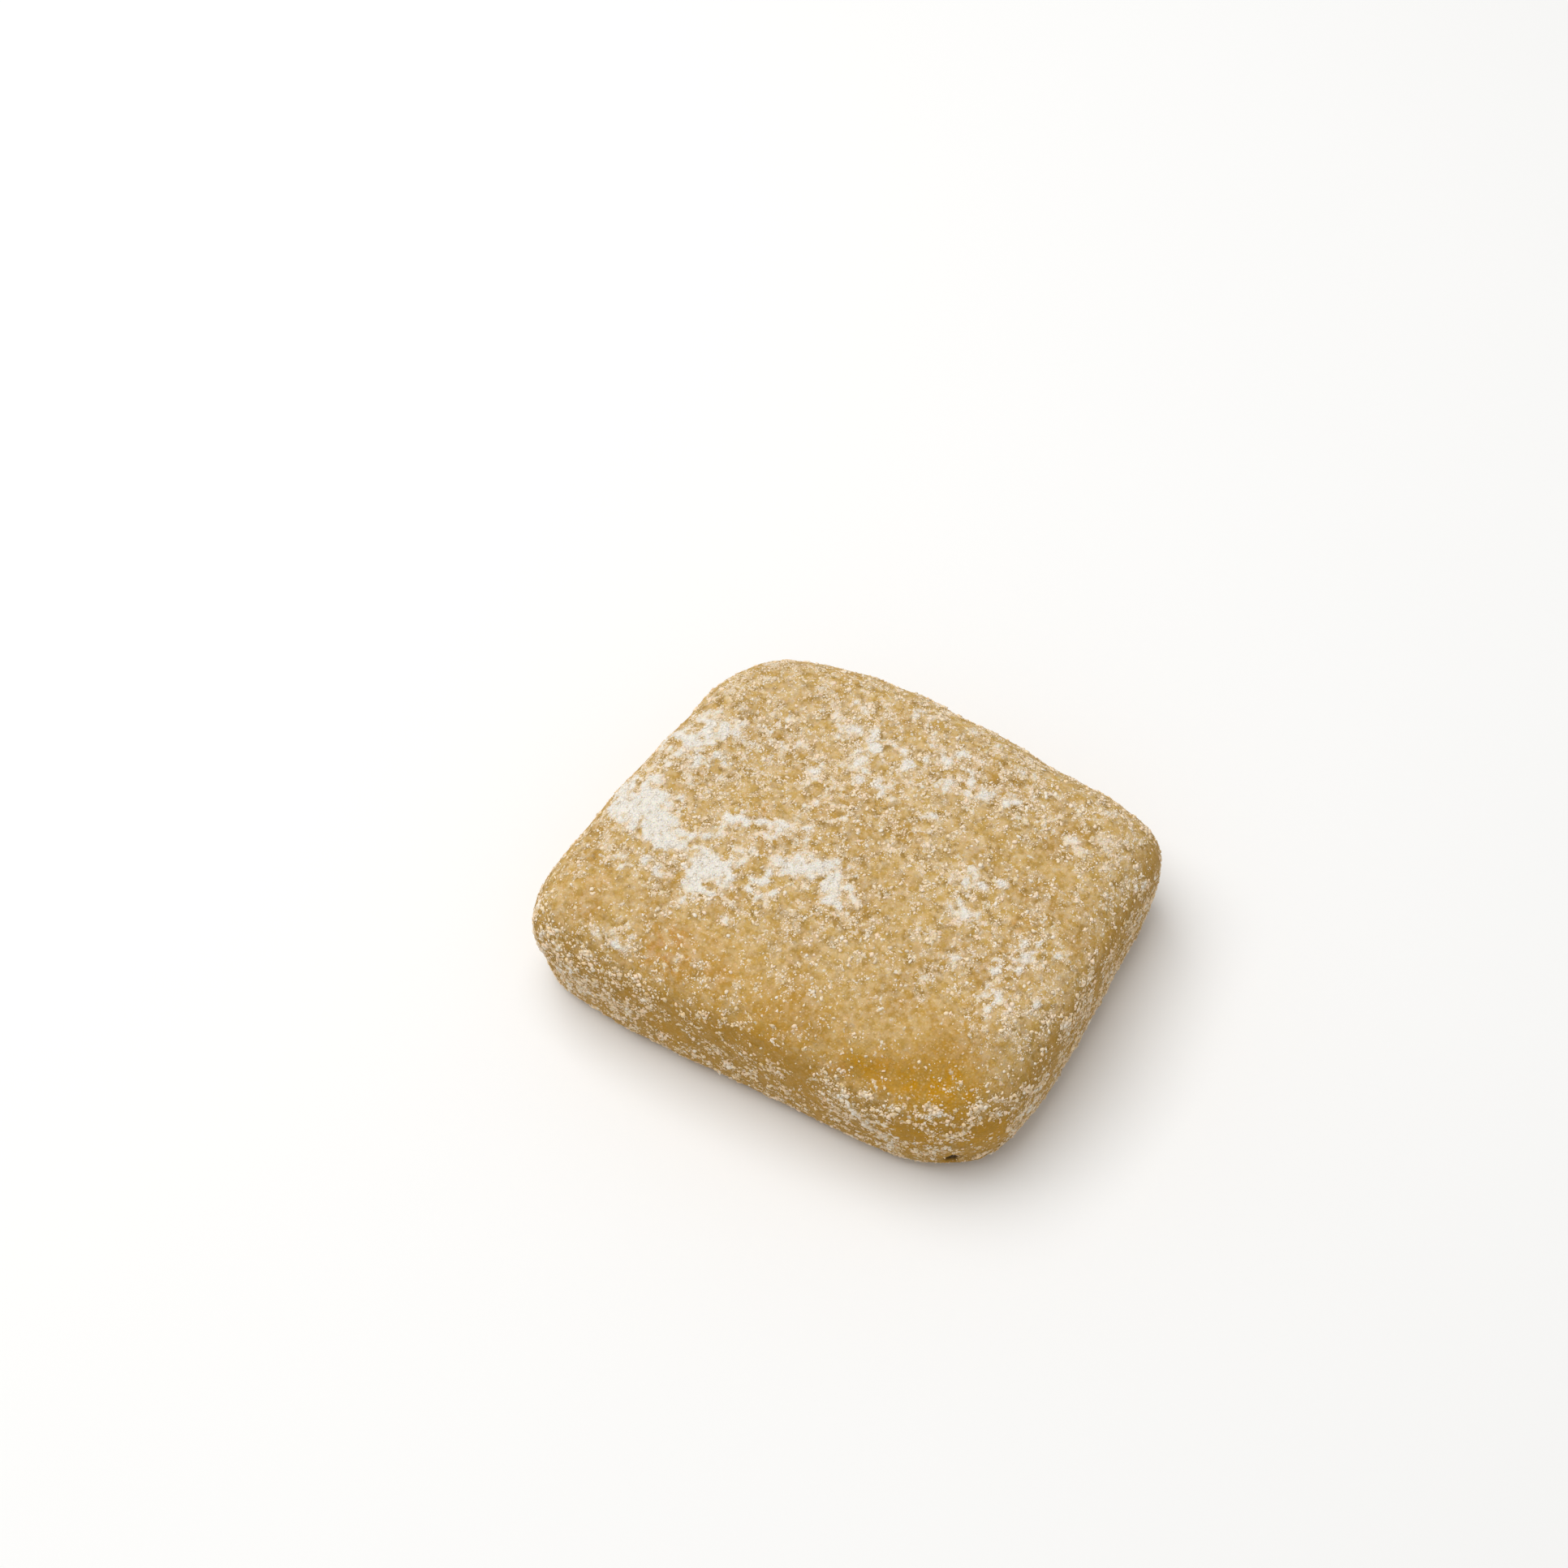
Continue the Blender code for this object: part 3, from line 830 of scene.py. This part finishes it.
def dough_material(dough, flour, groups):
    """Moist golden dough with a veil of the finest powder."""
    material, tree, shader = new_material("dough")
    place = tree.place()
    layers = {name: tree.layer(name) for name in ("flour", "cut", "treacle", "blush", "nick")}
    cut = layers["cut"]
    colour = bare_dough(tree, place, layers, dough)
    colour, inside = husk_and_grit(tree, place, cut, colour, dough, flour)
    # Painted shade inside the nick.
    colour = tree.mix(tree.step(layers["nick"], 0.1, 0.5, 0.0, 0.95), colour, dough.painted_nick_shade)

    settled = tree.product(layers["flour"], tree.math("MULTIPLY_ADD", cut, -0.35, 1.0))
    powder = use_group(tree, groups["powder"], Vector=place, Amount=settled)
    thin = tree.step(settled, 0.48, 1.0, 1.0, 0.05)
    between_clumps = tree.math("MULTIPLY_ADD", powder["Thick"], -0.4, 1.0)
    tone = tree.product(thin, between_clumps, tree.step(cut, 0.0, 0.5, 0.75, 1.0))
    white = flour_tint(tree, flour, groups, place, tone, powder["Kind"])
    through_haze = tree.math("SUBTRACT", 1.0, haze_of_flour(tree, place, layers))
    past_powder = tree.math("MULTIPLY_ADD", powder["Mask"], -0.86, 1.0)
    cover = tree.math("SUBTRACT", 1.0, tree.product(through_haze, past_powder))
    tree.links.new(tree.mix(cover, colour, white), shader.inputs["Base Color"])
    tree.links.new(tree.step(cover, 0.0, 1.0, 0.58, 0.92), shader.inputs["Roughness"])

    pores = tree.noise(place, PORE_SIZE, detail=3.0)
    relief = tree.math("MULTIPLY_ADD", inside, 0.2, powder["Height"])
    relief = tree.math("MULTIPLY_ADD", pores, 0.5, relief)
    bump = tree.add("ShaderNodeBump", inputs={"Height": relief, "Strength": 0.8, "Distance": RELIEF_HEIGHT})
    tree.links.new(bump.outputs["Normal"], shader.inputs["Normal"])
    shader.inputs["Specular IOR Level"].default_value = 0.05
    shader.inputs["Subsurface Weight"].default_value = 0.25
    shader.inputs["Subsurface Radius"].default_value = (1.0, 0.55, 0.2)
    shader.inputs["Subsurface Scale"].default_value = 1.2 * MM
    return material


def grain_material(flour, groups):
    """Dry flour grains, each a little whiter or creamier than the next."""
    material, tree, shader = new_material("rice_flour")
    place = tree.place()
    tint = flour_tint(tree, flour, groups, place, tree.layer("tone"), tree.layer("kind"))
    tree.links.new(tint, shader.inputs["Base Color"])
    rough = tree.step(tree.noise(place, GRAIN_TEXTURE_SIZE), 0.3, 0.7, 0.8, 0.95)
    tree.links.new(rough, shader.inputs["Roughness"])
    shader.inputs["Specular IOR Level"].default_value = 0.3
    return material


def wear(piece, material):
    """Gives a piece its only material."""
    piece.data.materials.clear()
    piece.data.materials.append(material)


def shared_groups():
    """The node groups that the finishes share, made once."""
    found = bpy.data.node_groups
    return {
        "colour": found.get("flour_colour") or flour_colour_group(),
        "powder": found.get("fine_powder") or powder_group(),
    }


def model_powder():
    """Two four-sided cones base to base: a crumb of eight faces."""
    cone = {"vertices": 4, "radius1": 0.55, "radius2": 0.0, "depth": 0.5, "end_fill_type": "NOTHING"}
    bpy.ops.mesh.primitive_cone_add(**cone, location=(0.0, 0.0, 0.25))
    bpy.ops.object.mode_set(mode="EDIT")
    bpy.ops.mesh.primitive_cone_add(**cone, location=(0.0, 0.0, -0.25), rotation=(math.pi, 0.0, 0.0))
    bpy.ops.mesh.select_all(action="SELECT")
    bpy.ops.mesh.remove_doubles(threshold=0.01)


def model_grain():
    """One rounded crumb of twenty faces."""
    bpy.ops.mesh.primitive_ico_sphere_add(subdivisions=1, radius=0.5)
    bpy.ops.object.mode_set(mode="EDIT")


def model_lump(draws):
    """A rounded crumb with two smaller ones grown onto it, of sixty faces."""
    bpy.ops.mesh.primitive_ico_sphere_add(subdivisions=1, radius=0.36)
    bpy.ops.object.mode_set(mode="EDIT")
    for angle in (0.3, 2.6):
        place = (0.3 * math.cos(angle), 0.3 * math.sin(angle), draws.uniform(-0.12, 0.12))
        radius = draws.uniform(0.2, 0.3)
        bpy.ops.mesh.primitive_ico_sphere_add(subdivisions=1, radius=radius, location=place)


def crumb_shape(kind, draws):
    """One crumb of flour about a unit wide: its points and its triangles."""
    bpy.ops.object.select_all(action="DESELECT")
    seed = int(draws.integers(1, 1000))
    if kind == "powder":
        model_powder()
    elif kind == "grain":
        model_grain()
    else:
        model_lump(draws)
    bpy.ops.mesh.select_all(action="SELECT")
    bpy.ops.transform.vertex_random(offset=CRUMB_ROUGHNESS[kind], seed=seed)
    bpy.ops.mesh.quads_convert_to_tris()
    bpy.ops.mesh.normals_make_consistent(inside=False)
    bpy.ops.object.mode_set(mode="OBJECT")
    crumb = bpy.context.object
    points = np.array([vertex.co for vertex in crumb.data.vertices])
    faces = np.array([face.vertices for face in crumb.data.polygons])
    bpy.data.objects.remove(crumb)
    return points, faces


def spread_over(mesh, count, draws):
    """Evenly spread places on a mesh, with the surface's normal at each."""
    mesh.calc_loop_triangles()
    corners = np.empty(len(mesh.loop_triangles) * 3, np.int32)
    mesh.loop_triangles.foreach_get("vertices", corners)
    corners = corners.reshape(-1, 3)
    places, normals = surface_of(mesh)
    a, b, c = places[corners[:, 0]], places[corners[:, 1]], places[corners[:, 2]]
    area = np.linalg.norm(np.cross(b - a, c - a), axis=1)
    face = draws.choice(len(corners), count, p=area / area.sum())
    weights = draws.dirichlet((1.0, 1.0, 1.0), count)
    spots = np.einsum("ij,ijk->ik", weights, places[corners[face]])
    facing = np.einsum("ij,ijk->ik", weights, normals[corners[face]])
    return spots, facing / np.linalg.norm(facing, axis=1)[:, None]


def lying_flat(facing, tilt, draws):
    """Rotations that lay a flat thing on the surface, turned at random and a little tilted."""
    up = facing + draws.normal(0.0, tilt, facing.shape)
    up /= np.linalg.norm(up, axis=1)[:, None]
    along = np.cross(up, draws.normal(size=facing.shape))
    along /= np.linalg.norm(along, axis=1)[:, None]
    return np.stack([along, np.cross(up, along), up], axis=2)


def join_crumbs(kind, spots, turns, sizes, which, draws):
    """Copies a few crumbs to all their places. Gives the points, the triangles and each point's crumb."""
    points, faces, owners, start = [], [], [], 0
    for shape in range(SHAPES):
        shape_points, shape_faces = crumb_shape(kind, draws)
        mine = np.flatnonzero(which == shape)
        stretched = shape_points[None] * sizes[mine][:, None, :]
        placed = np.einsum("nij,nkj->nki", turns[mine], stretched) + spots[mine][:, None, :]
        points.append(placed.reshape(-1, 3))
        offsets = start + np.arange(len(mine)) * len(shape_points)
        faces.append((shape_faces[None] + offsets[:, None, None]).reshape(-1, 3))
        owners.append(np.repeat(mine, len(shape_points)))
        start += len(mine) * len(shape_points)
    return np.concatenate(points), np.concatenate(faces), np.concatenate(owners)


def scatter(name, body, kind, size, count, region, seed, material):
    """Makes one piece of flour out of crumbs that lie on the dough where region says."""
    draws = np.random.default_rng(seed)
    spots, facing = spread_over(body.data, count * PLACES_PER_CRUMB, draws)
    flour = flour_at(spots, facing)
    likely = region(spots, facing, flour)
    kept = draws.choice(len(spots), count, replace=False, p=likely / likely.sum())
    spots, facing, flour = spots[kept], facing[kept], flour[kept]
    widths = size * np.clip(np.exp(draws.normal(0.0, WIDTH_SPREAD, count)), *WIDTH_LIMITS)
    stretch = draws.uniform(*STRETCH_LIMITS, (count, 3)) * (1.0, 1.0, CRUMB_HEIGHT[kind])
    turns = lying_flat(facing, LEAN, draws)
    tones = draws.uniform(0.7, 1.0, count) * (1.0 - 0.25 * stepped(facing[:, 2], 0.3, 0.9))
    tones *= 1.0 - 0.85 * stepped(flour, 0.5, 1.0)
    kinds = draws.random(count)
    which = draws.integers(0, SHAPES, count)
    points, faces, owners = join_crumbs(kind, spots, turns, widths[:, None] * stretch, which, draws)
    points[:, 2] = np.maximum(points[:, 2], 0.0)

    mesh = bpy.data.meshes.new(name)
    mesh.from_pydata(points.tolist(), [], faces.tolist())
    mesh.shade_smooth()
    add_layer(mesh, "tone", tones[owners])
    add_layer(mesh, "kind", kinds[owners])
    piece = bpy.data.objects.new(name, mesh)
    bpy.context.scene.collection.objects.link(piece)
    wear(piece, material)
    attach(piece, "root")
    return piece


def likely_at(spots, flour, on_bare, keenness, alone):
    """How likely a grain is at each place: more where flour is thick, and more in small clumps.

    Bare dough gets the share on_bare. A higher keenness keeps the grains to thicker flour. The share alone
    lies outside the clumps.
    """
    clumps = stepped(noise_at(spots, CLUMP_SIZE, 31.0), -0.12, 0.4)
    return (on_bare + flour**keenness) * (alone + (1.0 - alone) * clumps)


def powder_on_top(spots, facing, flour):
    """Where powder lies on the top: mostly in the thick patches."""
    on_top = stepped(facing[:, 2], *GRAINS_TURN_TO_TOP)
    return likely_at(spots, flour, 0.004, 1.7, 0.12) * on_top


def powder_on_sides(spots, facing, flour):
    """Where powder clings to the cut sides."""
    aside = 1.0 - stepped(facing[:, 2], *GRAINS_TURN_TO_TOP)
    return likely_at(spots, flour, 0.004, 1.2, 0.1) * aside * (facing[:, 2] > UNDERSIDE)


def grains_on_top(spots, facing, flour):
    """Where middling grains lie on the top."""
    on_top = stepped(facing[:, 2], *GRAINS_TURN_TO_TOP)
    return likely_at(spots, flour, 0.006, 1.6, 0.0) * on_top


def grains_on_sides(spots, facing, flour):
    """Where middling grains cling to the sides."""
    aside = 1.0 - stepped(facing[:, 2], 0.45, 0.8)
    return likely_at(spots, flour, 0.008, 1.2, 0.1) * aside * (facing[:, 2] > UNDERSIDE)


def lumps_all_over(spots, facing, flour):
    """Where small lumps lie: mostly on the sides and the rounded edges."""
    aside = 1.0 - stepped(facing[:, 2], 0.55, 0.9)
    return flour * (0.1 + 0.9 * aside) * (facing[:, 2] > UNDERSIDE)


# The pieces of flour: name, kind of crumb, the settings that hold its usual width and its number, where it
# lies and the seed of its random draws.
FLOUR_PIECES = (
    ("flour_powder_top", "powder", "powder_size", "top_count", powder_on_top, 11),
    ("flour_powder_sides", "powder", "powder_size", "side_count", powder_on_sides, 23),
    ("flour_grains_top", "grain", "grain_size", "top_grain_count", grains_on_top, 37),
    ("flour_grains_sides", "grain", "grain_size", "side_grain_count", grains_on_sides, 41),
    ("flour_lumps", "lump", "lump_size", "lump_count", lumps_all_over, 53),
)


class ALUWA_OT_dough(bpy.types.Operator):
    """Make the dough over the sweet's solid"""

    bl_idname = "aluwa.dough"
    bl_label = "Make the Dough"

    def execute(self, context):
        dough, flour = context.scene.aluwa_dough, context.scene.aluwa_flour
        piece = copy_of_solid("aluwa_dough")
        work_in("REMESH", piece, mode="VOXEL", voxel_size=dough.cell)
        work_in("SMOOTH", piece, factor=0.5, iterations=dough.smoothing)
        press_relief(piece, dough)
        piece.data.shade_smooth()
        wear(piece, dough_material(dough, flour, shared_groups()))
        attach(piece, "root")
        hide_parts(SOLID)
        return {"FINISHED"}


class ALUWA_OT_flour(bpy.types.Operator):
    """Dust the dough with powder, grains and lumps of flour"""

    bl_idname = "aluwa.flour"
    bl_label = "Dust with Flour"

    def execute(self, context):
        flour = context.scene.aluwa_flour
        body = bpy.data.objects["aluwa_dough"]
        material = grain_material(flour, shared_groups())
        for name, kind, width, number, region, seed in FLOUR_PIECES:
            size, count = getattr(flour, width), getattr(flour, number)
            scatter(name, body, kind, size, count, region, seed, material)
        return {"FINISHED"}


class ALUWA_OT_stage(bpy.types.Operator):
    """Set the floor, the lights and the camera"""

    bl_idname = "aluwa.stage"
    bl_label = "Set the Stage"

    def execute(self, context):
        stage = context.scene.aluwa_stage
        make_floor(stage)
        make_key_light(stage.key_power)
        make_sky(stage.sky_strength)
        make_camera(stage)
        context.scene.view_settings.view_transform = "Standard"
        return {"FINISHED"}


def make_floor(stage):
    """A wide pale floor under the sweet."""
    bpy.ops.object.select_all(action="DESELECT")
    bpy.ops.mesh.primitive_plane_add(size=FLOOR_SIZE)
    floor = bpy.context.object
    floor.name = "floor"
    material, tree, shader = new_material("floor")
    cloud = tree.noise(tree.place(), FLOOR_CLOUD_SIZE, detail=2.0)
    dim = tuple(0.985 * part for part in stage.floor_colour[:3]) + (1.0,)
    tree.links.new(tree.mix(cloud, stage.floor_colour, dim), shader.inputs["Base Color"])
    shader.inputs["Roughness"].default_value = 0.7
    shader.inputs["Specular IOR Level"].default_value = 0.2
    wear(floor, material)


def make_key_light(power):
    """One large soft light overhead, a little to the left."""
    away = Vector(KEY_DIRECTION).normalized()
    bpy.ops.object.light_add(type="AREA", location=away * KEY_DISTANCE)
    light = bpy.context.object
    light.name = "key_light"
    light.rotation_euler = away.to_track_quat("Z", "Y").to_euler()
    light.data.size = KEY_SIZE
    light.data.energy = power


def make_sky(strength):
    """Even light from all round."""
    world = bpy.data.worlds.new("sky")
    world.use_nodes = True
    sky = world.node_tree.nodes["Background"]
    sky.inputs["Color"].default_value = SKY_COLOUR
    sky.inputs["Strength"].default_value = strength
    bpy.context.scene.world = world


def make_camera(stage):
    """A camera that sees the sweet from above its front corner."""
    flat = math.cos(stage.elevation)
    right, forward = math.sin(stage.azimuth) * flat, math.cos(stage.azimuth) * flat
    back = Vector((right, -forward, math.sin(stage.elevation)))
    turned = back.to_track_quat("Z", "Y") @ Quaternion((0.0, 0.0, 1.0), stage.roll)
    place = Vector(stage.aim) + back * stage.distance
    bpy.ops.object.camera_add(location=place, rotation=turned.to_euler())
    camera = bpy.context.object
    camera.data.lens = stage.lens
    camera.data.clip_start = CAMERA_CLIP_START
    bpy.context.scene.camera = camera


class ALUWA_PT_panel(bpy.types.Panel):
    """Lists the sweet's settings and the steps that make it"""

    bl_label = "Pani Aluwa"
    bl_space_type = "VIEW_3D"
    bl_region_type = "UI"
    bl_category = "Aluwa"

    def draw(self, context):
        for step, kind in SETTINGS.items():
            column = self.layout.column()
            for name in kind.__annotations__:
                column.prop(getattr(context.scene, "aluwa_" + step), name)
            column.operator("aluwa." + step)


CLASSES = (*SETTINGS.values(), ALUWA_OT_dough, ALUWA_OT_flour, ALUWA_OT_stage, ALUWA_PT_panel)


def register():
    """Registers the classes and gives the scene its settings."""
    for kind in CLASSES:
        bpy.utils.register_class(kind)
    for step, kind in SETTINGS.items():
        setattr(bpy.types.Scene, "aluwa_" + step, PointerProperty(type=kind))


def unregister():
    """Takes the settings and the classes away again."""
    for step in SETTINGS:
        delattr(bpy.types.Scene, "aluwa_" + step)
    for kind in reversed(CLASSES):
        bpy.utils.unregister_class(kind)


def main():
    """Makes the sweet and the stage."""
    register()
    bpy.ops.aluwa.dough()
    bpy.ops.aluwa.flour()
    bpy.ops.aluwa.stage()


if __name__ == "__main__":
    main()
